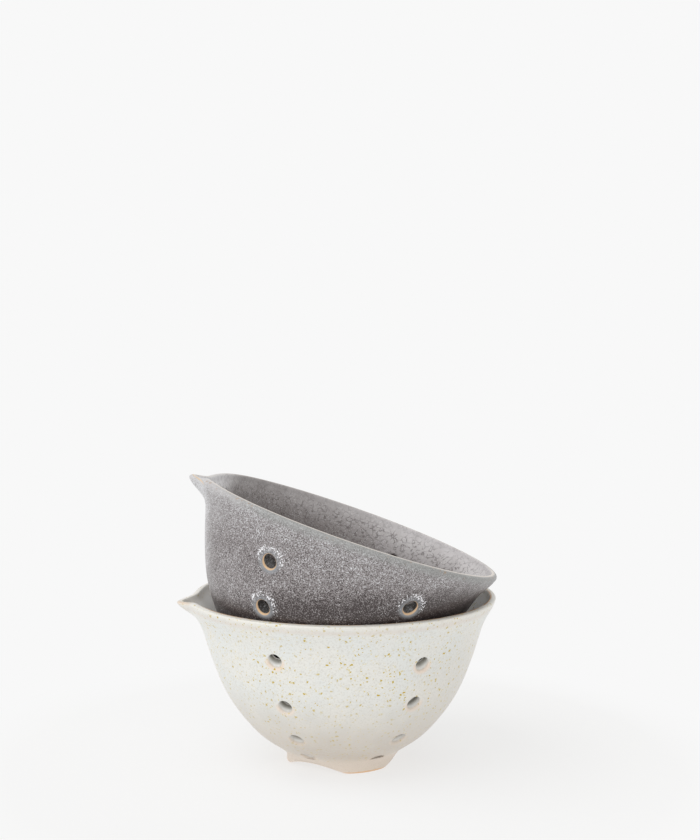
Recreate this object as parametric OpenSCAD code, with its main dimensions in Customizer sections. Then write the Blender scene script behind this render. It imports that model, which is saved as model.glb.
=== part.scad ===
// Two alike stoneware berry colanders, the second one set down inside the first and
// left leaning there. Each is a round bowl with a flared lip, a small pouring spout,
// columns of drain holes and three low feet.
//
// The frame's origin is the centre of the lower foot ring, on the table. +Z is up and
// -Y is the side with the two hole columns that face the viewer. Lengths are in mm.

/* [Bowl] */
// Outer radius of the lip, the widest part of a bowl
rim_r = 72.6; // [66:0.1:84]
// Height of a bowl from the table to the top of its rim
bowl_h = 79; // [70:0.5:95]
// Thickness of the side wall
wall = 4.8; // [3.6:0.1:6]
// Thickness of the floor
floor_t = 5; // [4:0.1:8]
// Thickness of the lip
lip_t = 2.6; // [2:0.1:3.4]

/* [Feet] */
// How far the feet lift the underside off the table
foot_h = 4.2; // [3:0.1:6]
// Outer radius of the foot ring
foot_r = 26.3; // [23:0.1:30]
// Width of the foot ring
foot_w = 8.2; // [5:0.1:10]
// How far the feet stand out past the edge of the underside
foot_proud = 0.5; // [0.2:0.1:1]
// Angle that one foot spans below the ring, with its thin ends over the arches
foot_span = 100; // [80:1:119]
// Radius of the arches cut between the feet
arch_r = 34; // [30:1:45]
// Height of the unbroken ring under the bowl, which the arches reach up to
arch_web = 0.5; // [0.3:0.1:1]
// Radius of the worn bottom edges of the feet
foot_edge = 0.7; // [0.3:0.1:1.2]

/* [Drain holes] */
// Diameter of each drain hole
hole_d = 6.4; // [5:0.1:8]
// Columns of holes round the bowl
hole_columns = 6; // [4:1:7]
// Width of the softened edge round each hole, on the outside
hole_edge = 0.7; // [0.2:0.1:1]

/* [Spout] */
// How far the lip is drawn out into the spout
spout_out = 5.4; // [2:0.1:7]
// How far the spout's channel dips below the rim
spout_dip = 2.2; // [1:0.1:3.5]
// Width of the spout where it leaves the rim
spout_w = 15; // [12:0.5:24]

/* [Nesting] */
// Lean of the upper bowl
lean = 19.2; // [12:0.1:24]
// Way that the upper bowl leans, counted from +X towards +Y
lean_heading = 5; // [0:1:20]
// How far the upper bowl is turned about its own axis
upper_turn = -1.3; // [-20:0.1:20]
// How far the upper foot ring's centre lies to the left of the lower one's
nest_left = 22.3; // [20:0.1:24]
// How far it lies in front of the lower one's
nest_front = 11.6; // [8:0.1:13]
// Clearance between the bowls where they meet
seat_gap = 0.3; // [0.2:0.05:0.6]

/* [Hidden] */

// Cuts run this far past what they cut
overrun = 1;

// Smoothness of full circles, and of the arcs in an outline
round_fn = 96;
arc_steps = 6;

// Directions are counted from the front, -Y, towards +X
hole_turn = 33.6;
spout_turn = -86.4;
foot_turns = [26.5, -93.5, 146.5];

// Heights of the hole rows up the outside, as shares of the bowl above its feet
hole_row_shares = [0.052, 0.213, 0.461, 0.736];

// The side's outline: share of the way up, share of the way out to the lip
side_shares = [[0, 0], [0.05, 0.106], [0.14, 0.298], [0.25, 0.454], [0.37, 0.584],
               [0.48, 0.673], [0.6, 0.746], [0.7, 0.798], [0.77, 0.845], [0.82, 0.873],
               [0.86, 0.898], [0.9, 0.931], [0.94, 0.972], [0.97, 0.994], [1, 1]];
side_steps = 2;

// Share of the way up at which the wall starts to thin towards the lip
thin_share = 0.75;

// Radius of the spout's beak at its tip, and of its channel's bottom
beak_r = lip_t / 2;
channel_r = lip_t / 2;
// Share of the way up at which the beak's keel runs into the wall
keel_share = 0.86;

lower_glaze = [0.90, 0.89, 0.86];
upper_glaze = [0.55, 0.54, 0.54];
lower_clay = [0.80, 0.75, 0.69];
upper_clay = [0.60, 0.55, 0.51];

underside_r = foot_r - foot_proud;
foot_inner_r = foot_r - foot_w;
web_z = foot_h - arch_web;
lip_z = bowl_h - lip_t / 2;
floor_z = foot_h + floor_t;

// A point of a smooth curve through b and c, whose neighbours are a and d
function between(a, b, c, d, t) =
    0.5 * (2 * b + (c - a) * t + (2 * a - 5 * b + 4 * c - d) * t * t
           + (3 * b - a - 3 * c + d) * t * t * t);

// The smooth curve through all the points, with some steps from each to the next
function smooth(p, steps) =
    [for (i = [0:len(p) - 2], k = [0:steps - 1])
        between(p[max(i - 1, 0)], p[i], p[i + 1], p[min(i + 2, len(p) - 1)], k / steps),
     p[len(p) - 1]];

function side_point(share) =
    [underside_r + share[1] * (rim_r - underside_r), foot_h + share[0] * (lip_z - foot_h)];

// Outside of the wall from the underside's edge up to the lip, as radius and height
side = smooth([for (s = side_shares) side_point(s)], side_steps);

function radius_at(z) = lookup(z, [for (p = side) [p[1], p[0]]]);

// How far the wall leans out from the vertical at a height
function flare_at(z) =
    let (step = (lip_z - foot_h) / len(side))
        atan2(radius_at(z + step) - radius_at(z - step), 2 * step);

// Direction of the outline at one of its points
function along(i) =
    let (d = side[min(i + 1, len(side) - 1)] - side[max(i - 1, 0)]) d / norm(d);

// The wall's thickness at a height, thinner towards the lip
function thickness(z, extra) =
    let (thin_z = foot_h + thin_share * (lip_z - foot_h),
         u = max(0, (z - thin_z) / (lip_z - thin_z)))
        wall + (lip_t - wall) * u + extra;

// Inside of the wall above the floor, grown inwards by a clearance
function hollow_side(extra) =
    let (raw = [for (i = [0:len(side) - 1])
            side[i] + thickness(side[i][1], extra) * [-along(i)[1], along(i)[0]]],
         low = floor_z + extra)
        concat([[lookup(low, [for (p = raw) [p[1], p[0]]]), low]],
               [for (p = raw) if (p[1] > low + foot_edge) p]);

// The rounded top of the lip, from outside to inside
function lip_arc(extra) =
    [for (k = [1:arc_steps])
        let (a = 180 * k / arc_steps, r = lip_t / 2 + extra)
            [rim_r - lip_t / 2 + r * cos(a), lip_z + r * sin(a)]];

// Turns a piece drawn at +X to a direction counted from the front
module facing(turn) {
    rotate([0, 0, turn - 90]) children();
}

// The wall, lip and floor, with the unbroken part of the foot ring under them
module shell() {
    inside = hollow_side(0);
    ring = [[foot_inner_r, foot_h], [foot_inner_r, web_z], [foot_r, web_z], [foot_r, foot_h]];
    rotate_extrude($fn = round_fn)
        polygon(concat([[0, foot_h]], ring, side, lip_arc(0),
                       [for (i = [len(inside) - 2:-1:0]) inside[i]], [[0, floor_z]]));
}

// One drain hole, square to the wall, with its outer edge softened
module drain_hole(z) {
    translate([radius_at(z), 0, z])
        rotate([0, 90 + flare_at(z), 0]) {
            translate([0, 0, -2 * wall])
                cylinder(d = hole_d, h = 2 * wall + overrun, $fn = round_fn);
            translate([0, 0, -hole_edge])
                cylinder(d1 = hole_d, d2 = hole_d + 4 * hole_edge, h = 2 * hole_edge,
                         $fn = round_fn);
        }
}

module drain_holes() {
    for (column = [0:hole_columns - 1], share = hole_row_shares)
        facing(hole_turn + column * 360 / hole_columns)
            drain_hole(foot_h + share * (bowl_h - foot_h));
}

// The drawn-out part of the lip, from its two sides to its tip and down its keel
module beak() {
    keel_z = foot_h + keel_share * (lip_z - foot_h);
    side_x = rim_r - 1.5 * lip_t;
    facing(spout_turn)
        hull() {
            for (y = [-spout_w / 2, spout_w / 2])
                translate([side_x, y, lip_z - lip_t / 2]) sphere(r = beak_r, $fn = 24);
            translate([rim_r + spout_out - beak_r, 0, bowl_h - spout_dip])
                sphere(r = beak_r, $fn = 24);
            translate([radius_at(keel_z) - beak_r, 0, keel_z]) sphere(r = beak_r, $fn = 24);
        }
}

// The channel that runs out over the beak
module channel() {
    start = rim_r - 3 * lip_t;
    run = 3 * lip_t + spout_out + overrun;
    facing(spout_turn)
        hull() {
            translate([start, 0, bowl_h - spout_dip + channel_r])
                rotate([0, 90, 0]) cylinder(r = channel_r, h = run, $fn = 24);
            translate([start, -spout_w / 2 + lip_t, bowl_h])
                cube([run, spout_w - 2 * lip_t, overrun]);
        }
}

module bowl() {
    difference() {
        union() {
            shell();
            beak();
        }
        channel();
        drain_holes();
    }
}

// One foot: it stands under the ring and is cut away at both ends by the arches beside it
module foot(turn) {
    corner = [for (k = [0:arc_steps]) let (a = 90 * k / arc_steps)
        foot_edge * [sin(a) - 1, 1 - cos(a)]];
    section = concat([[foot_r, web_z], [foot_inner_r, web_z]],
                     [for (i = [arc_steps:-1:0]) [foot_inner_r - corner[i][0], corner[i][1]]],
                     [for (i = [0:arc_steps]) [foot_r + corner[i][0], corner[i][1]]]);
    facing(turn)
        difference() {
            rotate([0, 0, -foot_span / 2])
                rotate_extrude(angle = foot_span, $fn = round_fn) polygon(section);
            for (side_turn = [-180 / len(foot_turns), 180 / len(foot_turns)])
                rotate([0, 0, side_turn])
                    translate([0, 0, web_z - arch_r])
                        rotate([0, 90, 0])
                            cylinder(r = arch_r, h = foot_r + overrun, $fn = round_fn);
        }
}

// Points over the outside of a bowl, from its feet to its lip
skin_steps = 120;
skin = let (outline = concat([[foot_r, 0], [foot_r, foot_h]], side, lip_arc(0)))
    [for (p = outline, k = [0:skin_steps - 1])
        let (a = 360 * k / skin_steps) [p[0] * cos(a), p[0] * sin(a), p[1]]];

function turned(p, axis, angle) =
    let (c = cos(angle), s = sin(angle), x = p[0], y = p[1], z = p[2])
        axis == "y" ? [c * x + s * z, y, c * z - s * x] : [c * x - s * y, s * x + c * y, z];

function leaned(p) =
    turned(turned(turned(p, "z", -lean_heading), "y", lean), "z", lean_heading);

// Height of the lower bowl's open side over a point, with the clearance on it
lower_top = let (inside = hollow_side(seat_gap))
    concat([[0, floor_z + seat_gap]], inside, [[rim_r, bowl_h + seat_gap]]);

// The upper bowl is let down until the first point of its skin meets the lower bowl
seat_z = max([for (p = skin)
    let (q = leaned(p) + [-nest_left, -nest_front, 0], r = norm([q[0], q[1]]))
        if (r < rim_r) lookup(r, lower_top) - q[2]]);

echo(seat_z = seat_z);

module set_inside() {
    translate([-nest_left, -nest_front, seat_z])
        rotate([0, 0, lean_heading])
            rotate([0, lean, 0])
                rotate([0, 0, upper_turn - lean_heading])
                    children();
}

module lower_bowl() {
    color(lower_glaze) bowl();
}

module lower_foot_front() {
    color(lower_clay) foot(foot_turns[0]);
}

module lower_foot_left() {
    color(lower_clay) foot(foot_turns[1]);
}

module lower_foot_rear() {
    color(lower_clay) foot(foot_turns[2]);
}

module upper_bowl() {
    color(upper_glaze) set_inside() bowl();
}

module upper_foot_front() {
    color(upper_clay) set_inside() foot(foot_turns[0]);
}

module upper_foot_left() {
    color(upper_clay) set_inside() foot(foot_turns[1]);
}

module upper_foot_rear() {
    color(upper_clay) set_inside() foot(foot_turns[2]);
}

lower_bowl();
lower_foot_front();
lower_foot_left();
lower_foot_rear();
upper_bowl();
upper_foot_front();
upper_foot_left();
upper_foot_rear();
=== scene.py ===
import bpy
import math
from mathutils import Matrix, Vector


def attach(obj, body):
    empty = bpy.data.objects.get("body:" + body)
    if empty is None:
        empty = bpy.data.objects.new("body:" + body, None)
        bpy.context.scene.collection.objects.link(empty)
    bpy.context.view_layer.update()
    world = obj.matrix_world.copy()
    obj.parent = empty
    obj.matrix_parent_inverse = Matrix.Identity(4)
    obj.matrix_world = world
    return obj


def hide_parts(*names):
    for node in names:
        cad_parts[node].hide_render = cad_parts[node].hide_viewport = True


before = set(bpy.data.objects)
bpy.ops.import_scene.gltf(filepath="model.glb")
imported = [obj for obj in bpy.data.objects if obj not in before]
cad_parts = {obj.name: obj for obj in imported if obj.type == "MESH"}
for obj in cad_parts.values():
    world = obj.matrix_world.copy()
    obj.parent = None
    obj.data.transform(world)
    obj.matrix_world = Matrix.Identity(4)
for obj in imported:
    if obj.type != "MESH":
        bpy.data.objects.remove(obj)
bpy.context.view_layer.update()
print("frame loaded")

mm = 0.001  # the bowls' own sizes are in millimetres


# Camera

cameraView = {
    "at": (0.00378, -0.7053, 0.21825),
    "tiltDown": 4.58,  # degrees
    "lens": 64.53,
    "sensor": 36,
}


def setCamera():
    data = bpy.data.cameras.new("photoCamera")
    data.sensor_width = cameraView["sensor"]
    data.lens = cameraView["lens"]
    camera = bpy.data.objects.new("photoCamera", data)
    camera.location = cameraView["at"]
    camera.rotation_euler = (math.radians(90 - cameraView["tiltDown"]), 0, 0)
    bpy.context.scene.collection.objects.link(camera)
    bpy.context.scene.camera = camera


setCamera()
print("camera set")


# Shader helpers

class Wire:
    # a shader socket that can be used in Python sums
    def __init__(self, finish, socket):
        self.finish = finish
        self.socket = socket

    def math(self, operation, *others):
        sockets = dict(enumerate((self, *others)))
        return self.finish.node("ShaderNodeMath", {"operation": operation}, sockets)

    def __add__(self, other):
        return self.math("ADD", other)

    __radd__ = __add__

    def __sub__(self, other):
        return self.math("SUBTRACT", other)

    def __rsub__(self, other):
        return self.finish.number(other).math("SUBTRACT", self)

    def __mul__(self, other):
        return self.math("MULTIPLY", other)

    __rmul__ = __mul__

    def __truediv__(self, other):
        return self.math("DIVIDE", other)

    def __rtruediv__(self, other):
        return self.finish.number(other).math("DIVIDE", self)

    def most(self, other):
        return self.math("MAXIMUM", other)

    def rise(self, low, high):
        # 0 below low, 1 above high, eased between; low may be the larger one
        settings = {"interpolation_type": "SMOOTHSTEP"}
        sockets = {"Value": self, "From Min": low, "From Max": high}
        return self.finish.node("ShaderNodeMapRange", settings, sockets)

    def step(self, size, low, high):
        # rises to a size instead of to 1
        return size * self.rise(low, high)

    def hump(self, middle, reach):
        # 1 at the middle, 0 a reach away on both sides
        return (self - middle).math("ABSOLUTE").rise(reach, 0)

    def span(self, low, high):
        # turns 0 and 1 into low and high
        return low + (high - low) * self

    def swing(self, size):
        # a noise that moves half a size both ways
        return size * (self - 0.5)

    def parts(self):
        # the three numbers of a place or a colour
        first = self.finish.node("ShaderNodeSeparateXYZ", {}, {0: self})
        return [first.output(axis) for axis in range(3)]

    def output(self, name):
        # another output of the same node
        return Wire(self.finish, self.socket.node.outputs[name])


class Finish:
    # the nodes of a material or of the world
    def __init__(self, owner, shader, fixed):
        owner.use_nodes = True
        self.owner = owner
        self.tree = owner.node_tree
        self.shader = self.tree.nodes[shader]
        self.plug(self.shader, fixed)

    def node(self, kind, settings, sockets, output=0):
        made = self.tree.nodes.new(kind)
        for name, value in settings.items():
            setattr(made, name, value)
        self.plug(made, sockets)
        return Wire(self, made.outputs[output])

    def plug(self, made, sockets):
        for name, value in sockets.items():
            if isinstance(value, Wire):
                self.tree.links.new(value.socket, made.inputs[name])
            else:
                made.inputs[name].default_value = value

    def number(self, value):
        return self.node("ShaderNodeMath", {"operation": "ADD"}, {0: value, 1: 0})

    def read(self, name, output="Fac"):
        return self.node("ShaderNodeAttribute", {"attribute_name": name}, {}, output)

    def blend(self, first, second, factor):
        # colours are sRGB bytes or wires
        ends = [c if isinstance(c, Wire) else (*paint(c), 1) for c in (first, second)]
        sockets = {0: factor, 6: ends[0], 7: ends[1]}
        return self.node("ShaderNodeMix", {"data_type": "RGBA"}, sockets, 2)

    def vector(self, operation, *others, output=0):
        sockets = dict(enumerate(others))
        return self.node("ShaderNodeVectorMath", {"operation": operation}, sockets, output)

    def noise(self, at, size, detail, roughness, output=0):
        sockets = {"Vector": at, "Scale": 1 / size, "Detail": detail, "Roughness": roughness}
        return self.node("ShaderNodeTexNoise", {}, sockets, output)

    def wander(self, at, noise, reach):
        # a place that a noise moves about
        push = self.noise(at, *noise, output="Color")
        push = self.vector("SUBTRACT", push, (0.5, 0.5, 0.5))
        sockets = {0: push, "Scale": reach}
        push = self.node("ShaderNodeVectorMath", {"operation": "SCALE"}, sockets)
        return self.vector("ADD", at, push)

    def spots(self, at, spacing, radius, share, softness, sizes=(0.45, 1.2)):
        # round specks in a share of the cells, each with a radius between two sizes
        sockets = {"Vector": at, "Scale": 1 / spacing, "Randomness": 1}
        cell = self.node("ShaderNodeTexVoronoi", {}, sockets, "Color")
        chance, size, _ = cell.parts()
        away = cell.output("Distance") * spacing
        edge = radius * size.span(*sizes)
        return away.rise(edge, edge * softness) * chance.math("LESS_THAN", share)

    def wear(self, changing):
        self.plug(self.shader, changing)
        print(f"{self.owner.name} mixed")
        return self.owner


def newMaterial(name, fixed):
    return Finish(bpy.data.materials.new(name), "Principled BSDF", fixed)


def paint(color):
    # sRGB bytes to the linear colour that a shader takes
    shares = [c / 255 for c in color]
    return tuple(s / 12.92 if s <= 0.04045 else ((s + 0.055) / 1.055) ** 2.4 for s in shares)


def bumped(finish, height):
    # height is in millimetres
    sockets = {"Height": height, "Strength": 1, "Distance": mm}
    return finish.node("ShaderNodeBump", {}, sockets)


# Outline of a bowl, as (radius, height) pairs

bowlShape = {
    "rimRadius": 72.6,
    "rimHeight": 79,
    "wall": 4.8,
    "flare": ((58, 58.9), (60, 59.8), (64, 61.8), (68, 63.8), (72, 66.3), (75, 68.1),
              (77.4, 69.2)),  # the inside under the lip, as (height, radius)
    "floor": 5,
    "floorEase": 7,  # how widely the inside corner at the floor is rounded
    "footEase": 0.6,  # and the outside corner at the foot
    "floorGap": 0.2,  # from the floor and from the flare to the wall between them
    "flareGap": 1,
    "cornerIn": 1,  # from that wall in to the floor's corner
    "crestIn": 0.3,  # least distance from the inside of the lip to its crest
    "columns": 6,
    "columnTurn": 33.6,
    "rows": (0.052, 0.213, 0.461, 0.736),
    "bore": 6.4,
    "tall": 1.05,  # a hole's height to its width
    "topEdge": 0.45,  # rounding of a hole's edge outside, above and below
    "bottomEdge": 1.35,
    "innerEdge": 0.8,
    "boreTilts": (16, 16, 16, 27),  # degrees that each row's bores rise inwards
    "boreTaper": 0.87,  # a bore's inner width to its outer
    "sideShares": ((0, 0), (0.05, 0.106), (0.138, 0.298), (0.247, 0.456), (0.365, 0.588),
                   (0.474, 0.677), (0.592, 0.7495), (0.69, 0.8015), (0.76, 0.8355),
                   (0.814, 0.861), (0.861, 0.8895), (0.904, 0.9235), (0.93, 0.9475),
                   (0.9555, 0.9705), (0.981, 0.99), (1, 1)),
}

footShape = {
    "height": 4.2,
    "radius": 26.3,
    "width": 8.2,
    "proud": 0.5,
    "arch": 34,
    "web": 0.5,  # clay left over the middle of each arch
    "edge": 0.45,
    "fillet": (1.8, 29.5, 7),  # height where the flare starts, radius and height of its end
    "turns": {"front": 26.5, "left": -93.5, "rear": 146.5},
}

# The two lips: heights of the crest and of the widest place, and the crest's radius
lipShape = {
    "lower": {"height": 79.25, "widest": 78.3, "crest": 70},
    "upper": {"height": 79.8, "widest": 78, "crest": 70},
}

# The two spouts. Widths are in degrees, from the tip to where most of it has gone
spoutShape = {
    "lower": {"turn": -91.9, "out": 6.1, "dip": 3.9, "width": 5.1, "nearDip": 14.5, "farDip": 9.3,
              "keel": 59, "power": 3, "press": 0},
    "upper": {"turn": -91.4, "out": 5.6, "dip": 3.2, "width": 5.3, "nearDip": 13, "farDip": 20,
              "keel": 65.6, "power": 0.87, "press": 0.5},
    "sharpness": 2.4,
    "pressWidth": 45,  # the side under the spout is pressed flat this far round
    "pressFoot": 25,  # height by which the press has come in
    "pressTop": (79, 12),  # height where it has gone, and how far below that it fades
}

# How far single holes lie from their column and row: (column, row) to degrees and mm
lowerNudges = {
    (0, 0): (0, -1.2), (0, 1): (1.9, -0.5), (0, 2): (0.7, 0.4), (0, 3): (0.3, -1.1),
    (5, 0): (-3, 0.8), (5, 1): (-0.3, 0.2), (5, 2): (0.3, -0.5), (5, 3): (-0.4, 1.3),
}

upperNudges = {
    (0, 2): (0.4, 1.3), (5, 2): (0.6, -0.7), (5, 3): (0.2, -0.5),
}

outlineSteps = {
    "side": 10,  # points from one knot to the next
    "flare": 6,
    "lip": 12,
    "outside": 0.25,  # mm between the points of an eased line
    "inside": 0.5,
    "easing": 6,  # places averaged on each side
    "slope": 0.8,  # mm on both sides in which a slope is read
    "lipSlope": (1, 0.6),  # mm below the lip, and on both sides
    "search": 0.05,
    "offSide": 100,  # keeps a search for a place away from the floor
}


def between(a, b, c, d, t):
    # the same smooth curve as the solid's outline
    return tuple(
        0.5 * (2 * q + (r - p) * t + (2 * p - 5 * q + 4 * r - s) * t * t
               + (3 * q - p - 3 * r + s) * t ** 3)
        for p, q, r, s in zip(a, b, c, d))


def smoothed(points, steps):
    last = len(points) - 1
    curve = []
    for i in range(last):
        four = points[max(i - 1, 0)], points[i], points[i + 1], points[min(i + 2, last)]
        curve += [between(*four, k / steps) for k in range(steps)]
    return curve + [points[last]]


class Outline:
    # a fine polyline that is read by its length
    def __init__(self, points):
        self.points = points
        self.reach = [0]
        for p, q in zip(points, points[1:]):
            self.reach.append(self.reach[-1] + math.dist(p, q))
        self.length = self.reach[-1]

    def at(self, s):
        s = min(max(s, 0), self.length)
        low, high = 0, len(self.reach) - 2
        while low < high:
            middle = (low + high + 1) // 2
            if self.reach[middle] <= s:
                low = middle
            else:
                high = middle - 1
        span = self.reach[low + 1] - self.reach[low]
        t = (s - self.reach[low]) / span if span else 0
        p, q = self.points[low], self.points[low + 1]
        return p[0] + (q[0] - p[0]) * t, p[1] + (q[1] - p[1]) * t

    def along(self, s, step=outlineSteps["slope"]):
        p, q = self.at(s - step), self.at(s + step)
        size = math.dist(p, q)
        return (q[0] - p[0]) / size, (q[1] - p[1]) / size

    def nearest(self, measure):
        # the length at which a measure of the point is least
        step = outlineSteps["search"]
        return min((k * step for k in range(int(self.length / step))),
                   key=lambda s: measure(self.at(s)))

    def eased(self, reach, step):
        # rounds corners by averaging over a reach on both sides
        count = round(self.length / step)
        side = outlineSteps["easing"]
        rounded = []
        for s in (k * self.length / count for k in range(count + 1)):
            room = min(reach, s, self.length - s)
            near = [self.at(s + room * k / side) for k in range(-side, side + 1)]
            rounded.append(tuple(sum(p[i] for p in near) / len(near) for i in (0, 1)))
        return Outline(rounded)


def ease(t):
    t = min(max(t, 0), 1)
    return t * t * (3 - 2 * t)


def lipCurve(start, control, crest):
    # a quarter turn over to the crest
    steps = outlineSteps["lip"]
    return [tuple((1 - t) ** 2 * a + 2 * t * (1 - t) * b + t * t * c
                  for a, b, c in zip(start, control, crest))
            for t in (k / steps for k in range(1, steps + 1))]


def bowlOutlines(level):
    b, f, lip, steps = bowlShape, footShape, lipShape[level], outlineSteps
    crest = lip["crest"], lip["height"]
    undersideRadius = f["radius"] - f["proud"]
    floorHeight = f["height"] + b["floor"]
    knots = [(undersideRadius + out * (b["rimRadius"] - undersideRadius),
              f["height"] + up * (lip["widest"] - f["height"])) for up, out in b["sideShares"]]
    side = smoothed(knots, steps["side"])
    wallLine = Outline(side)
    wall = []
    for s, (radius, height) in zip(wallLine.reach, side):
        out, up = wallLine.along(s)
        wall.append((radius - up * b["wall"], height + out * b["wall"]))
    lowest, highest = floorHeight + b["floorGap"], b["flare"][0][0] - b["flareGap"]
    wall = [p for p in wall if lowest < p[1] < highest]
    floor = [(0, floorHeight), (wall[0][0] - b["cornerIn"], floorHeight)]
    flare = smoothed([(radius, height) for height, radius in b["flare"]], steps["flare"])
    innerLine = Outline(floor + wall + flare).eased(b["floorEase"], steps["inside"])
    outerLine = Outline([(0, f["height"])] + side).eased(b["footEase"], steps["outside"])
    widest = outerLine.points[-1]
    outside = Outline(outerLine.points + lipCurve(widest, (widest[0], lip["height"]), crest))
    start = innerLine.points[-1]
    below, reach = steps["lipSlope"]
    out, up = innerLine.along(innerLine.length - below, reach)
    ahead = min(start[0] + (lip["height"] - start[1]) * out / up, lip["crest"] - b["crestIn"])
    inside = Outline(innerLine.points + lipCurve(start, (ahead, lip["height"]), crest))
    print(f"{level} outlines made, {outside.length:.0f} mm outside, {inside.length:.0f} mm inside")
    return outside, inside


# Mesh of a bowl

bowlMesh = {
    "segments": 288,
    "patchReach": 6.2,  # half the side of the square round a hole
    "patchCells": 8,
    "patchRings": (0.35, 0.7, 1),  # from the square to the hole's edge
    "edgeTurns": (15, 30, 45, 60, 75, 90),  # degrees round that edge
    "boreRings": (0.2, 0.4, 0.6, 0.8),  # from the outer edge to the inner
    "cell": 1.7,
    "lipReach": 4.2,  # how far down from the crest the fine cells go
    "lipCell": 0.42,
    "poleRadius": 1.6,
    "searches": 8,
    "searchStep": 0.9,
}


def onTurn(turn, radius, height):
    # turns are counted from the front, -Y, towards +X
    a = math.radians(turn)
    return Vector((radius * math.sin(a), -radius * math.cos(a), height))


def sidePlace(outside, height):
    # the length at which the outside passes a height
    return outside.nearest(
        lambda p: abs(p[1] - height)
        + (outlineSteps["offSide"] if p[0] < footShape["radius"] else 0))


class Row:
    # a ring of holes: where it crosses both outlines, and its patch's width in cells
    def __init__(self, share, tilt, outside, inside):
        b, f = bowlShape, footShape
        self.height = f["height"] + share * (b["rimHeight"] - f["height"])
        self.outerPlace = sidePlace(outside, self.height)
        radius, height = outside.at(self.outerPlace)
        out, up = outside.along(self.outerPlace)
        self.innerPlace = inside.nearest(
            lambda p: abs((p[0] - radius) * out + (p[1] - height) * up)
            + (outlineSteps["offSide"] if p[0] < radius - 3 * b["wall"] else 0))
        self.wall = math.dist((radius, height), inside.at(self.innerPlace))
        self.lift = self.wall * math.tan(math.radians(tilt))
        self.innerPlace += self.lift
        cellWidth = math.radians(360 / bowlMesh["segments"]) * radius
        self.halfCells = round(bowlMesh["patchReach"] / cellWidth)


class Hole:
    def __init__(self, column, row, nudge, outside):
        b = bowlShape
        self.row = row
        self.turn = b["columnTurn"] + column * 360 / b["columns"] + nudge[0]
        place = sidePlace(outside, row.height + nudge[1])
        radius, height = outside.at(place)
        out, up = outside.along(place)
        self.middle = onTurn(self.turn, radius, height)
        self.across = onTurn(self.turn + 90, 1, 0)
        self.normal = onTurn(self.turn, up, -out)
        self.upward = onTurn(self.turn, out, up)
        self.innerMiddle = self.middle + self.upward * row.lift - self.normal * row.wall
        self.cell = round((self.turn - b["columnTurn"]) * bowlMesh["segments"] / 360)


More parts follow.
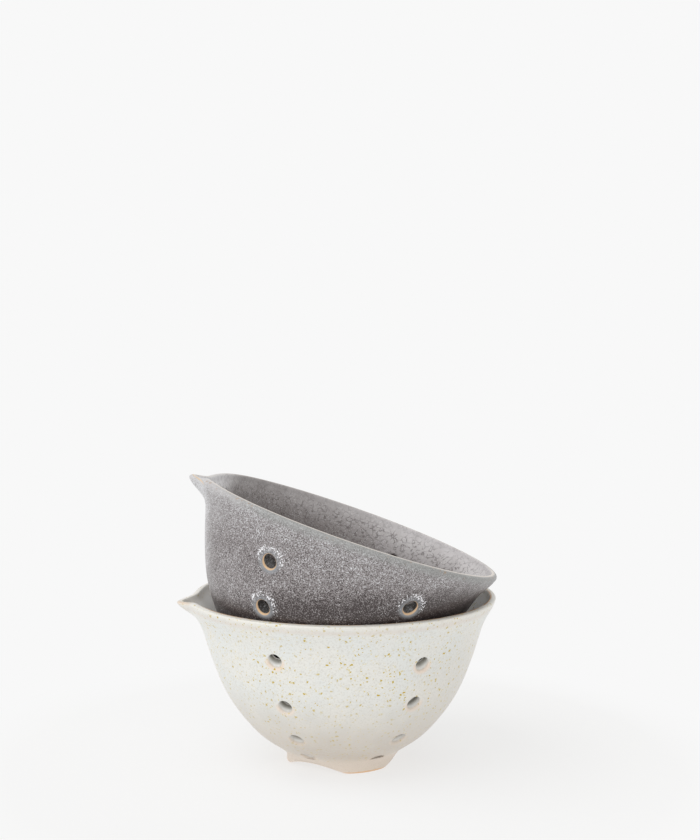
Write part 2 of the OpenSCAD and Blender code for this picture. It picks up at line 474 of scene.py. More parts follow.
class BowlBuilder:
    def __init__(self, level, nudges):
        b = bowlShape
        self.outside, self.inside = bowlOutlines(level)
        self.rows = [Row(share, tilt, self.outside, self.inside)
                     for share, tilt in zip(b["rows"], b["boreTilts"])]
        self.holes = [Hole(c, row, nudges.get((c, r), (0, 0)), self.outside)
                      for c in range(b["columns"]) for r, row in enumerate(self.rows)]
        self.points = []
        self.faces = []
        self.fromLip = []
        self.inBore = []
        self.build()

    def add(self, point, fromLip, inBore=0):
        self.points.append(point)
        self.fromLip.append(fromLip)
        self.inBore.append(inBore)
        return len(self.points) - 1

    def lines(self, curve, places):
        # lengths of the rings: even cells, with a fixed number across each patch
        reach = bowlMesh["patchReach"]
        stops = [bowlMesh["poleRadius"]]
        for s in sorted(places):
            stops += [s - reach, s + reach]
        stops += [curve.length - bowlMesh["lipReach"], curve.length]
        rings = [stops[0]]
        for k, (a, b) in enumerate(zip(stops, stops[1:])):
            if k % 2 and k < 2 * len(places):
                cells = bowlMesh["patchCells"]
            elif b == curve.length:
                cells = round((b - a) / bowlMesh["lipCell"])
            else:
                cells = max(1, round((b - a) / bowlMesh["cell"]))
            rings += [a + (b - a) * (i + 1) / cells for i in range(cells)]
        return rings

    def surface(self, curve, isInner, crest=None):
        places = [row.innerPlace if isInner else row.outerPlace for row in self.rows]
        rings = self.lines(curve, places)
        count = bowlMesh["segments"]
        sign = 1 if isInner else -1
        blocks = []
        for hole in self.holes:
            start = places[self.rows.index(hole.row)] - bowlMesh["patchReach"]
            low = min(range(len(rings)), key=lambda j: abs(rings[j] - start))
            blocks.append((hole, hole.cell, low))
        inBlock = set()
        for hole, centre, low in blocks:
            for i in range(-hole.row.halfCells, hole.row.halfCells):
                for j in range(low, low + bowlMesh["patchCells"]):
                    inBlock.add(((centre + i) % count, j))
        grid = {}
        for j, s in enumerate(rings):
            radius, height = curve.at(s)
            for i in range(count):
                around = {((i + a) % count, j + b) for a in (-1, 0) for b in (-1, 0)}
                if around <= inBlock:
                    continue
                if crest and j == len(rings) - 1:
                    grid[i, j] = crest[i]
                else:
                    turn = bowlShape["columnTurn"] + i * 360 / count
                    grid[i, j] = self.add(onTurn(turn, radius, height), sign * (curve.length - s))
        for j in range(len(rings) - 1):
            for i in range(count):
                if (i, j) not in inBlock:
                    n = (i + 1) % count
                    self.quad(grid[i, j], grid[n, j], grid[n, j + 1], grid[i, j + 1], isInner)
        pole = self.add(Vector((0, 0, curve.at(0)[1])), sign * curve.length)
        for i in range(count):
            n = (i + 1) % count
            pair = (grid[i, 0], grid[n, 0]) if isInner else (grid[n, 0], grid[i, 0])
            self.faces.append((pole, *pair))
        return rings, grid, blocks, [grid[i, len(rings) - 1] for i in range(count)]

    def quad(self, a, b, c, d, flipped):
        self.faces.append((d, c, b, a) if flipped else (a, b, c, d))

    def boundary(self, block, rings, grid):
        # the square's corners and sides in turn, as (turn, length, vertex)
        hole, centre, low = block
        count = bowlMesh["segments"]
        w, cells = hole.row.halfCells, bowlMesh["patchCells"]
        walk = [(i, 0) for i in range(-w, w)] + [(w, j) for j in range(cells)]
        walk += [(i, cells) for i in range(w, -w, -1)] + [(-w, j) for j in range(cells, 0, -1)]
        first = bowlShape["columnTurn"] + centre * 360 / count
        return [(first + i * 360 / count, rings[low + j], grid[(centre + i) % count, low + j])
                for i, j in walk]

    def locate(self, curve, hole, x, y, turn, s):
        # the surface point over (x, y) in the plane square to the wall
        for _ in range(bowlMesh["searches"]):
            radius, height = curve.at(s)
            away = onTurn(turn, radius, height) - hole.middle
            turn += math.degrees((x - away.dot(hole.across)) / radius)
            s += (y - away.dot(hole.upward)) * bowlMesh["searchStep"]
        return turn, s

    def rim(self, curve, block, rings, grid, isInner, turns):
        # rings from the square in to the bore's wall; returns the last ring
        b = bowlShape
        hole = block[0]
        sign = 1 if isInner else -1
        lift = hole.row.lift if isInner else 0
        half = b["bore"] / 2 * (b["boreTaper"] if isInner else 1)

        def edge(a):
            low = ease((1 - math.sin(a)) / 2)
            outer = b["topEdge"] + (b["bottomEdge"] - b["topEdge"]) * low
            return b["innerEdge"] if isInner else outer

        def across(a, far):
            return far * math.cos(a), far * math.sin(a) * b["tall"] + lift

        square = self.boundary(block, rings, grid)
        circle = [self.locate(curve, hole, *across(a, half + edge(a)), turn, s)
                  for a, (turn, s, _) in zip(turns, square)]
        before = [v for _, _, v in square]
        for share in bowlMesh["patchRings"]:
            ring = []
            for (t0, s0, _), (t1, s1) in zip(square, circle):
                turn, s = t0 + (t1 - t0) * share, s0 + (s1 - s0) * share
                ring.append(self.add(onTurn(turn, *curve.at(s)), sign * (curve.length - s)))
            self.band(before, ring, isInner)
            before = ring
        starts = [(self.points[v] - hole.middle).dot(hole.normal) for v in before]
        for fall in bowlMesh["edgeTurns"]:
            f = math.radians(fall)
            ring = []
            for a, start, v in zip(turns, starts, before):
                x, y = across(a, half + edge(a) * (1 - math.sin(f)))
                deep = start + sign * edge(a) * (1 - math.cos(f))
                point = hole.middle + hole.across * x + hole.upward * y + hole.normal * deep
                ring.append(self.add(point, self.fromLip[v], fall / 90))
            self.band(before, ring, isInner)
            before = ring
        return before

    def band(self, outer, inner, flipped):
        for k in range(len(outer)):
            n = (k + 1) % len(outer)
            self.quad(outer[k], outer[n], inner[n], inner[k], flipped)

    def build(self):
        outerRings, outerGrid, outerBlocks, crest = self.surface(self.outside, False)
        innerRings, innerGrid, innerBlocks, _ = self.surface(self.inside, True, crest)
        for hole, outerBlock, innerBlock in zip(self.holes, outerBlocks, innerBlocks):
            turns = []
            for _, _, v in self.boundary(outerBlock, outerRings, outerGrid):
                away = self.points[v] - hole.middle
                turns.append(math.atan2(away.dot(hole.upward), away.dot(hole.across)))
            mouth = self.rim(self.outside, outerBlock, outerRings, outerGrid, False, turns)
            back = self.rim(self.inside, innerBlock, innerRings, innerGrid, True, turns)
            before = mouth
            for share in bowlMesh["boreRings"]:
                ring = [self.add(self.points[a].lerp(self.points[b], share), self.fromLip[a],
                                 1 + share) for a, b in zip(mouth, back)]
                self.band(before, ring, False)
                before = ring
            self.band(before, back, False)

    def readings(self):
        # what the glaze reads: how far from the lip, how deep in a bore, how near a hole
        gaps, aboves = [], []
        for point, lip in zip(self.points, self.fromLip):
            best, above = math.inf, 0
            for hole in self.holes:
                away = point - (hole.innerMiddle if lip > 0 else hole.middle)
                if away.length < best:
                    best, above = away.length, away.normalized().dot(hole.upward)
            gaps.append(best - bowlShape["bore"] / 2)
            aboves.append(above)
        return {"fromLip": self.fromLip, "inBore": self.inBore,
                "holeGap": gaps, "aboveHole": aboves}


def drawSpout(point, level):
    # the lip pulled out and down into a small spout, over a slightly flattened side
    radius = math.hypot(point.x, point.y)
    if not radius:
        return point
    p, forms = spoutShape[level], spoutShape
    turn = math.degrees(math.atan2(point.x, -point.y))
    away = (turn - p["turn"] + 180) % 360 - 180
    fade = ease((point.z - p["keel"]) / (lipShape[level]["height"] - p["keel"]))
    pull = p["out"] * math.exp(-abs(away / p["width"]) ** forms["sharpness"]) * fade ** p["power"]
    dip = p["dip"] * math.exp(-(away / p["nearDip" if away > 0 else "farDip"]) ** 2) * fade
    top, below = forms["pressTop"]
    press = p["press"] * math.exp(-(away / forms["pressWidth"]) ** 2)
    press *= ease(point.z / forms["pressFoot"]) * ease((top - point.z) / below)
    return onTurn(turn, radius + pull - press, point.z - dip)


upperPose = {
    "at": (-22.3, -11.6, 39.4317),
    "lean": 19.2,
    "heading": 5,
    "turn": -1.3,
}


def poseMatrix(isUpper):
    if not isUpper:
        return Matrix.Identity(4)
    p = upperPose
    heading, back = (Matrix.Rotation(math.radians(a), 4, "Z")
                     for a in (p["heading"], p["turn"] - p["heading"]))
    lean = Matrix.Rotation(math.radians(p["lean"]), 4, "Y")
    return Matrix.Translation(p["at"]) @ heading @ lean @ back


def makePiece(name, points, faces, readings, material, isUpper, nodes):
    # points are in the bowl's own millimetres; readings are what the glaze reads
    matrix = poseMatrix(isUpper)
    mesh = bpy.data.meshes.new(name)
    mesh.from_pydata([(matrix @ p) * mm for p in points], [], faces)
    place = mesh.attributes.new("place", "FLOAT_VECTOR", "POINT")
    place.data.foreach_set("vector", [c for p in points for c in p])
    for label, values in readings.items():
        mesh.attributes.new(label, "FLOAT", "POINT").data.foreach_set("value", values)
    mesh.materials.append(material)
    mesh.shade_smooth()
    mesh.validate()
    piece = bpy.data.objects.new(name, mesh)
    bpy.context.scene.collection.objects.link(piece)
    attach(piece, "upper_colander" if isUpper else "lower_colander")
    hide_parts(*nodes)
    return piece


# Mesh of a foot ring, with its three arches

footMesh = {
    "stations": 240,
    "corner": 5,
    "flare": 7,
    "flareBend": 0.2,
    "soft": 0.8,  # mm over which an arch's ends are rounded
    "stack": 0.02,  # mm between points that an arch would press together
}


def footBottom(turn, radius):
    # height of the ring's bottom at a place on it, lifted by the arches
    f = footShape
    count = len(f["turns"])
    away = (turn - f["turns"]["front"]) % (360 / count) - 180 / count
    chord = radius * math.sin(math.radians(away))
    rise = f["height"] - f["web"] - f["arch"] + math.sqrt(max(f["arch"] ** 2 - chord ** 2, 0))
    soft = footMesh["soft"]
    return (rise + math.sqrt(rise * rise + soft * soft)) / 2


def buildFeet():
    f, m = footShape, footMesh
    inner, outer, edge = f["radius"] - f["width"], f["radius"], f["edge"]
    flareStart, flareRadius, flareTop = f["fillet"]
    corner = [math.radians(90 * i / m["corner"]) for i in range(m["corner"] + 1)]
    section = [(inner, flareTop), (flareRadius, flareTop)]
    for k in range(1, m["flare"] + 1):
        t = 1 - k / m["flare"]
        bend = 1 + m["flareBend"] * (1 - t)
        section.append((outer + (flareRadius - outer) * t * t,
                        flareStart + (flareTop - flareStart) * t * bend))
    section += [(outer - edge + edge * math.cos(a), edge - edge * math.sin(a)) for a in corner]
    section += [(inner + edge - edge * math.sin(a), edge - edge * math.cos(a)) for a in corner]
    points, faces = [], []
    stations, size = m["stations"], len(section)
    for k in range(stations):
        turn = 360 * k / stations
        for i, (radius, height) in enumerate(section):
            low = footBottom(turn, min(radius, outer))
            least = low + edge + m["stack"] * (size - i)
            above = low + height if height <= edge else max(height, least)
            points.append(onTurn(turn, radius, above))
    for k in range(stations):
        here, there = k * size, (k + 1) % stations * size
        for i in range(size):
            n = (i + 1) % size
            faces.append((here + i, here + n, there + n, there + i))
    return points, faces


# Cream glaze with ochre specks, for the lower bowl. In this look and the next ones colours
# are sRGB bytes and a Noise is (size in mm, detail, roughness). A From, Below or In is where
# a layer starts and where it is full, a Step has its strength before those two, and a Place
# is a layer's middle and its reach

creamLook = {
    "cloudNoise": (17, 3, 0.6),
    "smearNoise": (6, 2, 0.5),
    "grainNoise": (0.9, 2, 0.7),
    "crowdNoise": (13, 2, 0.5),
    "swellNoise": (7, 1, 0.5),
    "cool": (227, 229, 226),
    "warm": (231, 230, 224),
    "warmFrom": (0.35, 0.65),
    "low": (196, 183, 169),  # towards the foot; also the painted shade on the right
    "lowBelow": (50, 0),  # mm above the table
    "lowDrift": (16, 5),  # mm by which the clouds and the smear move that
    "rightShadeStep": (0.22, 15, 55),  # painted shade: the same tone on the right, away from the lamps
    "rightShadeBelow": (75, 45),
    "lowest": (207, 196, 183),
    "lowestBelow": (13, 7),
    "footGlaze": (222, 210, 197),  # where the side meets the feet
    "footBelow": (9.5, 6),
    "grain": (208, 206, 198),
    "grainStep": (0.6, 0.46, 0.68),
    # partly the inside's own white glaze, partly painted light: lighter than the outside, to lift
    # the shaded hollow
    "inside": (246, 245, 241),
    "insideLitFrom": (0.5, 1.2),  # in a bore: 1 is its outer end and 2 its inner
    "band": (232, 228, 219),  # under the lip
    "bandStep": (0.6, 5.2, 2.8),
    "bandDrift": 1.5,
    "creaseShade": (219, 207, 196),  # painted shade: a crease's dark line below the rolled lip
    "creaseShadePlace": (5.6, 2.2),  # its depth and its reach
    "creaseShadeShare": 0.45,
    "blush": (238, 212, 188),  # round the lower half of a hole
    "blushStep": (0.6, 2.5, 0.8),
    "blushBelow": (0.55, -0.3),
    "blushHigh": (20, 50),
    "blushLeft": 0.35,  # how much of it is left near the foot
    "blushIn": (1.1, 0.6),
    "speckWander": ((1.3, 1, 0.5), 1.6),  # a noise, and how far it moves the specks
    "crowdFrom": (0.36, 0.6),
    "highSpecks": (12, 50),  # mm up from where specks are few to where they are many
    "fewSpecks": 0.55,
    "spoutSpecks": 0.2,  # few inside the spout, too
    "spoutIn": (1, 4),
    "spoutFrom": (-45, -58),
    "faintSpeck": (214, 192, 84),
    "faintSpots": (1.6, 0.46, 0.8, 0.5),  # spacing and radius in mm, share of cells, core
    "faintSpan": (0.4, 0.75),  # strength, from thin to crowded
    "speck": (192, 166, 0),
    "spots": (2.3, 0.62, 0.85, 0.65),
    "spotShift": (31, 7, 11),
    "spotSpan": (0.45, 1),
    "spotsIn": (0.9, 0.5),
    "bore": (104, 100, 86),  # painted shade deep in a hole
    "boreLow": (150, 118, 84),  # and in the lowest row
    "boreLowBelow": (24, 14),
    "boreShadeStep": (0.85, 0.95, 1.75),
    "clay": (206, 158, 104),  # where the glaze has drawn off the crest
    "clayShare": 0.85,
    "linePlace": (-0.15, 0.95),
    "lineDrift": 0.6,
    "lineBroken": (0.3, 0.5),
    "lineFront": (25, -5),
    "lineFrom": (-66, -58),
    "tipPlace": (-1.9, 2.4),
    "tipStep": (0.5, -68, -73),
    "tipFront": (5, -1),
    "roughness": 0.34,
    "smearRoughness": 0.2,
    "clayRoughness": 0.25,
    "swellHeight": 0.12,  # mm
    "grainHeight": 0.012,
    "speckDepth": 0.03,
}


def creamGlaze():
    look = creamLook
    g = newMaterial("creamGlaze", {"IOR": 1.5})
    at, lip = g.read("place", "Vector"), g.read("fromLip")
    gap, above, bore = g.read("holeGap"), g.read("aboveHole"), g.read("inBore")
    x, y, z = at.parts()
    depth = lip.math("ABSOLUTE")
    outer = lip.math("LESS_THAN", 0)
    clouds = g.noise(at, *look["cloudNoise"])
    smear = g.noise(at, *look["smearNoise"])
    grain = g.noise(at, *look["grainNoise"])
    # the ground, the tones towards the foot, and painted shade on the right
    color = g.blend(look["cool"], look["warm"], clouds.rise(*look["warmFrom"]))
    cloudDrift, smearDrift = look["lowDrift"]
    low = (z + clouds.swing(cloudDrift) + smear.swing(smearDrift)).rise(*look["lowBelow"])
    color = g.blend(color, look["low"], low * outer)
    # painted shade on the right side, away from the light
    rightShade = x.step(*look["rightShadeStep"]) * z.rise(*look["rightShadeBelow"])
    color = g.blend(color, look["low"], rightShade * outer)
    color = g.blend(color, look["lowest"], z.rise(*look["lowestBelow"]) * outer)
    color = g.blend(color, look["footGlaze"], z.rise(*look["footBelow"]) * outer)
    color = g.blend(color, look["grain"], grain.step(*look["grainStep"]))
    # the lighter inside: partly painted light in the hollow between the bowls
    color = g.blend(color, look["inside"], (1 - outer).most(bore.rise(*look["insideLitFrom"])))
    # the band under the lip and the painted crease shade below it
    edge = depth + smear.swing(look["bandDrift"])
    color = g.blend(color, look["band"], edge.step(*look["bandStep"]))
    creaseShade = look["creaseShadeShare"] * edge.hump(*look["creaseShadePlace"])
    color = g.blend(color, look["creaseShade"], creaseShade * outer)
    # the blush below each hole
    below = above.rise(*look["blushBelow"]) * z.rise(*look["blushHigh"]).span(look["blushLeft"], 1)
    blush = gap.step(*look["blushStep"]) * below * bore.rise(*look["blushIn"])
    color = g.blend(color, look["blush"], blush)
    # the specks
    spotsAt = g.wander(at, *look["speckWander"])
    crowd = g.noise(at, *look["crowdNoise"]).rise(*look["crowdFrom"])
    inSpout = lip.rise(*look["spoutIn"]) * x.rise(*look["spoutFrom"])
    many = z.rise(*look["highSpecks"]).span(look["fewSpecks"], 1)
    many = many * inSpout.span(1, look["spoutSpecks"])
    faint = g.spots(spotsAt, *look["faintSpots"]) * crowd.span(*look["faintSpan"]) * many
    strong = g.spots(g.vector("ADD", spotsAt, look["spotShift"]), *look["spots"])
    strong = strong * crowd.span(*look["spotSpan"]) * many
    shown = bore.rise(*look["spotsIn"])
    color = g.blend(color, look["faintSpeck"], faint * shown)
    color = g.blend(color, look["speck"], strong * shown)
    # painted shade deep in the bores
    deep = g.blend(look["bore"], look["boreLow"], z.rise(*look["boreLowBelow"]))
    color = g.blend(color, deep, bore.step(*look["boreShadeStep"]))
    # bare clay along the crest and at the spout's tip
    line = (lip + smear.swing(look["lineDrift"])).hump(*look["linePlace"])
    line = line * smear.rise(*look["lineBroken"]) * y.rise(*look["lineFront"])
    line = line * x.rise(*look["lineFrom"])
    tip = x.step(*look["tipStep"]) * lip.hump(*look["tipPlace"]) * y.rise(*look["tipFront"])
    bare = line.most(tip)
    color = g.blend(color, look["clay"], look["clayShare"] * bare)
    height = look["swellHeight"] * g.noise(at, *look["swellNoise"])
    height = height + look["grainHeight"] * grain - look["speckDepth"] * strong
    roughness = look["roughness"] + smear.swing(look["smearRoughness"])
    return g.wear({
        "Base Color": color,
        "Roughness": roughness + look["clayRoughness"] * bare,
        "Normal": bumped(g, height),
    })


# Mottled grey glaze, for the upper bowl

greyLook = {
    "patchNoise": (9, 3, 0.6),
    "patchStretch": (1, 1, 0.55),
    "smearNoise": (3.5, 2, 0.5),
    "coarseNoise": (2, 2, 0.6),
    "grainNoise": (0.5, 1, 0.6),
    "crystalNoise": (0.75, 2, 0.6),
    "crystalShift": (50, 0, 0),
    "swellNoise": (7, 1, 0.5),
    "dark": (56, 47, 46),
    "middle": (142, 136, 136),
    "light": (216, 217, 220),
    "middleFrom": (0, 0.55),
    "lightFrom": (0.5, 1.05),
    "tone": 0.575,  # of the mottling, from dark to light
    "grainSwing": 2,
    "coarseSwing": 0.45,
    "patchSwing": 0.2,
    "belowLipShadeStep": (0.15, 76, 56),  # these three are painted shade, darker
    "rightShadeStep": (0.06, 0, 60),
    "leanShadeStep": (0.38, 57, 42),  # painted shade low down, where the lower bowl shades it; mm above its foot, as it leans
    "leanWeights": (0.94, 0.33),  # of the height and of the way left in that
    "leanStep": (5, -10, -50),
    "leanDrift": 5,
    "rimLightStep": (0.28, -0.9, -0.98),  # painted rim light: a lighter stripe down the left edge, under the spout
    "rimLightHigh": (28, 52),
    "inside": (208, 204, 204),  # painted light and shade: lighter towards the rim, the low side and the spout
    "insideShaded": (88, 79, 76),
    "insideLitFrom": (-68, 32),
    "insideWeights": (0.35, 3.2),
    "insidePatches": 26,
    "insideSmear": 18,
    "insideSpoutLight": (90, -55, -72),
    "insideRightLight": (36, 54, 69),
    "insideLeftLight": (0.85, -57, -69),
    "insideShare": (0.93, 0.65),  # least where the outer grain shows through
    "insideGrain": (0.48, 0.65),
    "insideVein": (66, 54, 51),
    "veinSpacing": 2.7,
    "veinWander": ((3, 1, 0.5), 3.6),
    "veinStep": (0.75, 0.15, 0.02),
    "veinBroken": (0.38, 0.58),
    "veinDeep": (2, 8),
    "veinLeft": 0.35,
    "band": (152, 154, 152),  # smoother glaze under the lip
    "paleBand": (200, 198, 198),  # towards the spout
    "paleFrom": (-35, -68),
    "bandStep": (0.68, 7.2, 2.6),
    "bandSmear": 3.4,
    "bandPatches": 3,
    "halo": (142, 145, 149),  # round the holes
    "haloFrom": (3.4, 1),
    "haloBelow": (0.4, -0.5),
    "haloSpan": (0.5, 0.9),
    "ochre": (164, 124, 80),
    "ochreSpots": (2.2, 0.9, 0.6, 0.2),
    "ochreStep": (0.75, 4.4, 2),
    "ochrePatches": (0.4, 0.55),
    "frost": (242, 242, 245),  # crystals, mostly in an arc over each hole; also painted light on the inside's left
    "frostFrom": (0.5, 0.58),
    "frostDrop": 0.2,
    "arcPlace": (3, 3),
    "arcAbove": (-0.7, 0.2),
    "sownStep": (0.3, 0.52, 0.66),
    "sownDeep": (8, 16),
    "bore": (58, 55, 53),
    "boreFrom": (0.7, 1),
    "boreCrystals": (0.5, 0.62),
    "boreLeft": 0.55,
    "ring": (226, 190, 148),  # bare clay round the holes
    "ringShare": 0.9,
    "ringFrom": (0.28, 0.42),
    "ringUntil": (0.9, 0.75),
    "edge": (232, 223, 212),
    "edgeShare": 0.85,
    "edgePlace": (-0.4, 1.3),
    "edgeDrift": 0.5,
    "edgeFront": (20, -5),
    "edgeBack": 0.3,
    "tip": (222, 184, 130),
    "tipPlace": (-0.4, 0.6),
    "tipStep": (0.9, 11, 8),  # mm from the spout's tip
    "tipFall": 0.42,  # how steeply the bare line falls from the spout's tip
    "roughness": 0.38,
    "smearRoughness": 0.15,
    "ringRoughness": 0.2,
    "swellHeight": 0.12,  # mm
    "grainHeight": 0.03,
}


def greyGlaze():
    look = greyLook
    g = newMaterial("greyGlaze", {"IOR": 1.5})
    at, lip = g.read("place", "Vector"), g.read("fromLip")
    gap, above, bore = g.read("holeGap"), g.read("aboveHole"), g.read("inBore")
    x, y, z = at.parts()
    depth = lip.math("ABSOLUTE")
    inner = lip.math("GREATER_THAN", 0)
    outer = 1 - inner
    patchy = g.noise(g.vector("MULTIPLY", at, look["patchStretch"]), *look["patchNoise"])
    smear = g.noise(at, *look["smearNoise"])
    coarse = g.noise(at, *look["coarseNoise"])
    grain = g.noise(at, *look["grainNoise"])
    # outside: a mottling of three tones, with painted shade below the lip, on the right and low on
    # the leaning side
    upWeight, leftWeight = look["leanWeights"]
    high = upWeight * z - leftWeight * x + x.step(*look["leanStep"])
    high = high + patchy.swing(look["leanDrift"])
    tone = look["tone"] + grain.swing(look["grainSwing"]) + coarse.swing(look["coarseSwing"])
    tone = tone + patchy.swing(look["patchSwing"])
    tone = tone - z.step(*look["belowLipShadeStep"]) - x.step(*look["rightShadeStep"])
    tone = tone - high.step(*look["leanShadeStep"])
    # painted rim light down the left edge, under the spout
    leftward = x / (x * x + y * y).math("SQRT")
    tone = tone + leftward.step(*look["rimLightStep"]) * z.rise(*look["rimLightHigh"])
    color = g.blend(look["dark"], look["middle"], tone.rise(*look["middleFrom"]))
    color = g.blend(color, look["light"], tone.rise(*look["lightFrom"]))
    # inside: smoother, with a net of dark veins over painted shade and light: darker deep down and
    # on the left, lighter at the rim, the right and the spout
    rightWeight, upWeight = look["insideWeights"]
    level = rightWeight * x + upWeight * (z - bowlShape["rimHeight"])
    level = level + patchy.swing(look["insidePatches"]) + smear.swing(look["insideSmear"])
    level = level + x.step(*look["insideSpoutLight"]) + x.step(*look["insideRightLight"])
    within = g.blend(look["insideShaded"], look["inside"], level.rise(*look["insideLitFrom"]))
    # painted light: the crystals' white on the inside's left, which faces away from the lamps
    within = g.blend(within, look["frost"], x.step(*look["insideLeftLight"]))
    sockets = {"Vector": g.wander(at, *look["veinWander"]), "Scale": 1 / look["veinSpacing"]}
    net = g.node("ShaderNodeTexVoronoi", {"feature": "DISTANCE_TO_EDGE"}, sockets)
    veins = net.step(*look["veinStep"]) * coarse.rise(*look["veinBroken"])
    veins = veins * depth.rise(*look["veinDeep"]).span(look["veinLeft"], 1)
    within = g.blend(within, look["insideVein"], veins)
    color = g.blend(color, within,
                    inner * grain.rise(*look["insideGrain"]).span(*look["insideShare"]))
    # the band under the lip
    edge = depth + smear.swing(look["bandSmear"]) + patchy.swing(look["bandPatches"])
    bandColor = g.blend(look["band"], look["paleBand"], x.rise(*look["paleFrom"]))
    color = g.blend(color, bandColor, edge.step(*look["bandStep"]) * outer)
    # halos round the holes, and ochre stains near the lip
    around = gap.rise(*look["haloFrom"]) * above.rise(*look["haloBelow"]).span(*look["haloSpan"])
    color = g.blend(color, look["halo"], around * outer)
    stains = g.spots(at, *look["ochreSpots"]) * depth.step(*look["ochreStep"])
    stains = stains * patchy.rise(*look["ochrePatches"])
    color = g.blend(color, look["ochre"], stains * outer)
    # frosty crystals
    crystals = g.noise(g.vector("ADD", at, look["crystalShift"]), *look["crystalNoise"])
    arc = gap.hump(*look["arcPlace"]) * above.rise(*look["arcAbove"])
    sown = arc.most(patchy.step(*look["sownStep"]) * depth.rise(*look["sownDeep"])) * outer
    frost = (crystals + look["frostDrop"] * (sown - 1)).rise(*look["frostFrom"])
    color = g.blend(color, look["frost"], frost)
    # the bores' dark glaze with painted shade, and the bare ring round each
    shaded = bore.rise(*look["boreFrom"])
    shaded = shaded * crystals.rise(*look["boreCrystals"]).span(1, look["boreLeft"])
    color = g.blend(color, look["bore"], shaded)
    ring = bore.rise(*look["ringFrom"]) * bore.rise(*look["ringUntil"]) * outer
    color = g.blend(color, look["ring"], look["ringShare"] * ring)
    # a pale line along the crest, weaker at the back, and bare clay at the spout's tip
    bare = (lip + smear.swing(look["edgeDrift"])).hump(*look["edgePlace"])
    bare = bare * y.rise(*look["edgeFront"]).span(look["edgeBack"], 1)
    color = g.blend(color, look["edge"], look["edgeShare"] * bare)
    fromTip = x + (bowlShape["rimRadius"] + spoutShape["upper"]["out"])
    tip = (lip + look["tipFall"] * fromTip).hump(*look["tipPlace"])
    color = g.blend(color, look["tip"], tip * fromTip.step(*look["tipStep"]))
    height = look["swellHeight"] * g.noise(at, *look["swellNoise"])
    roughness = look["roughness"] + smear.swing(look["smearRoughness"])
    return g.wear({
        "Base Color": color,
        "Roughness": roughness + look["ringRoughness"] * ring,
        "Normal": bumped(g, height + look["grainHeight"] * grain),
    })


# Feet, thinly glazed and bare along the bottom

creamFootLook = {"glaze": (224, 212, 199), "dark": (208, 194, 180), "bare": (226, 186, 144)}

greyFootLook = {"glaze": (124, 115, 111), "dark": (88, 78, 76), "bare": (196, 152, 110)}

footClayLook = {
    "grainNoise": (0.6, 3, 0.65),
    "smearNoise": (3, 2, 0.5),
    "darkStep": (0.6, 0.5, 0.7),
    "bareBelow": (0.95, 0.45),  # mm above the table
    "bareDrift": 0.6,
    "roughness": 0.5,
    "bareRoughness": 0.3,
    "grainHeight": 0.05,  # mm
}


def footClay(name, colors):
    look = footClayLook
    g = newMaterial(name, {"IOR": 1.5})
    at = g.read("place", "Vector")
    grain = g.noise(at, *look["grainNoise"])
    smear = g.noise(at, *look["smearNoise"])
    color = g.blend(colors["glaze"], colors["dark"], grain.step(*look["darkStep"]))
    bare = (at.parts()[2] + smear.swing(look["bareDrift"])).rise(*look["bareBelow"])
    color = g.blend(color, colors["bare"], bare)
    return g.wear({
        "Base Color": color,
        "Roughness": look["roughness"] + look["bareRoughness"] * bare,
        "Normal": bumped(g, look["grainHeight"] * grain),
    })


# The two colanders

def makeColander(isUpper, nudges, glaze, clay):
    level = "upper" if isUpper else "lower"
    builder = BowlBuilder(level, nudges)
    points = [drawSpout(p, level) for p in builder.points]
    makePiece(f"{level}BowlShell", points, builder.faces, builder.readings(), glaze, isUpper,
              [f"{level}_bowl"])
    points, faces = buildFeet()
    makePiece(f"{level}Feet", points, faces, {}, clay, isUpper,
              [f"{level}_foot_{side}" for side in footShape["turns"]])
    print(f"{level} colander made")


makeColander(False, lowerNudges, creamGlaze(), footClay("creamFootClay", creamFootLook))
makeColander(True, upperNudges, greyGlaze(), footClay("greyFootClay", greyFootLook))


# Floor and light

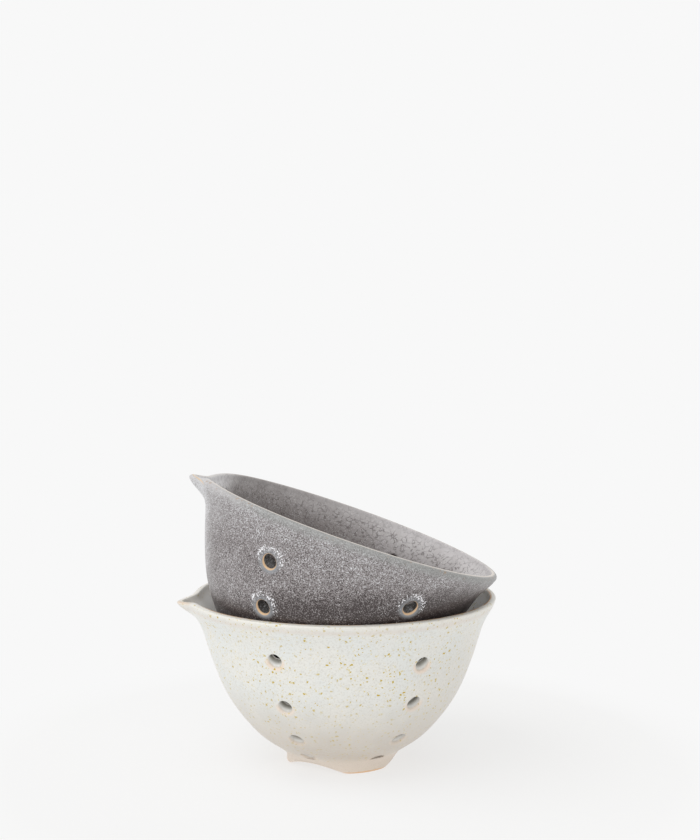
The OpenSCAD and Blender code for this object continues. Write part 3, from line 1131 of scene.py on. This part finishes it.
stageLook = {
    "floorRadius": 3,
    "floorSides": 64,
    "floorShade": 0.905,
    "white": 0.939,
    "fade": (0.09, 0.2),  # metres from the middle where the floor turns to plain white
    "plainShare": 0.66,  # of plain white in the floor near the bowls
    "dome": 0.735,
    "domeTint": (1, 0.988, 0.966),
    # each lamp's energy, tint, spread and turn
    "lamps": {"side": (0.98, (0.98, 1, 1.03), 60, (42, 0, -64)),
              "front": (0.36, (1, 1, 1), 50, (67, 0, -6))},
}


def plainGrey(level):
    return level, level, level, 1


def setStage():
    look = stageLook
    g = newMaterial("paleFloor", {"Base Color": plainGrey(look["floorShade"]), "Roughness": 1,
                                  "Specular IOR Level": 0})
    at = g.node("ShaderNodeNewGeometry", {}, {}, "Position")
    far = g.vector("LENGTH", at, output="Value")
    plain = g.node("ShaderNodeEmission", {}, {"Color": plainGrey(look["white"])})
    share = far.rise(*look["fade"]).most(look["plainShare"])
    sockets = {0: share, 1: Wire(g, g.shader.outputs[0]), 2: plain}
    mixed = g.node("ShaderNodeMixShader", {}, sockets)
    g.plug(g.tree.nodes["Material Output"], {"Surface": mixed})
    count = look["floorSides"]
    points = [onTurn(360 * k / count, look["floorRadius"], 0) for k in range(count)]
    mesh = bpy.data.meshes.new("floor")
    mesh.from_pydata(points, [], [tuple(range(count))])
    mesh.materials.append(g.owner)
    floor = bpy.data.objects.new("floor", mesh)
    bpy.context.scene.collection.objects.link(floor)


def setLight():
    look = stageLook
    world = bpy.data.worlds.new("studio")
    bpy.context.scene.world = world
    g = Finish(world, "Background", {})
    seen = g.node("ShaderNodeLightPath", {}, {}, "Is Camera Ray")
    seen = seen.most(seen.output("Is Glossy Ray"))
    sockets = {0: seen, 6: (*look["domeTint"], 1), 7: plainGrey(1)}
    color = g.node("ShaderNodeMix", {"data_type": "RGBA"}, sockets, 2)
    g.wear({"Color": color, "Strength": seen.span(look["dome"], look["white"])})
    for name, (energy, tint, spread, turn) in look["lamps"].items():
        data = bpy.data.lights.new(f"{name}Softbox", "SUN")
        data.energy = energy
        data.color = tint
        data.angle = math.radians(spread)
        lamp = bpy.data.objects.new(f"{name}Softbox", data)
        lamp.rotation_euler = [math.radians(a) for a in turn]
        bpy.context.scene.collection.objects.link(lamp)


setStage()
setLight()
bpy.context.scene.view_settings.view_transform = "Standard"
print("stage set")
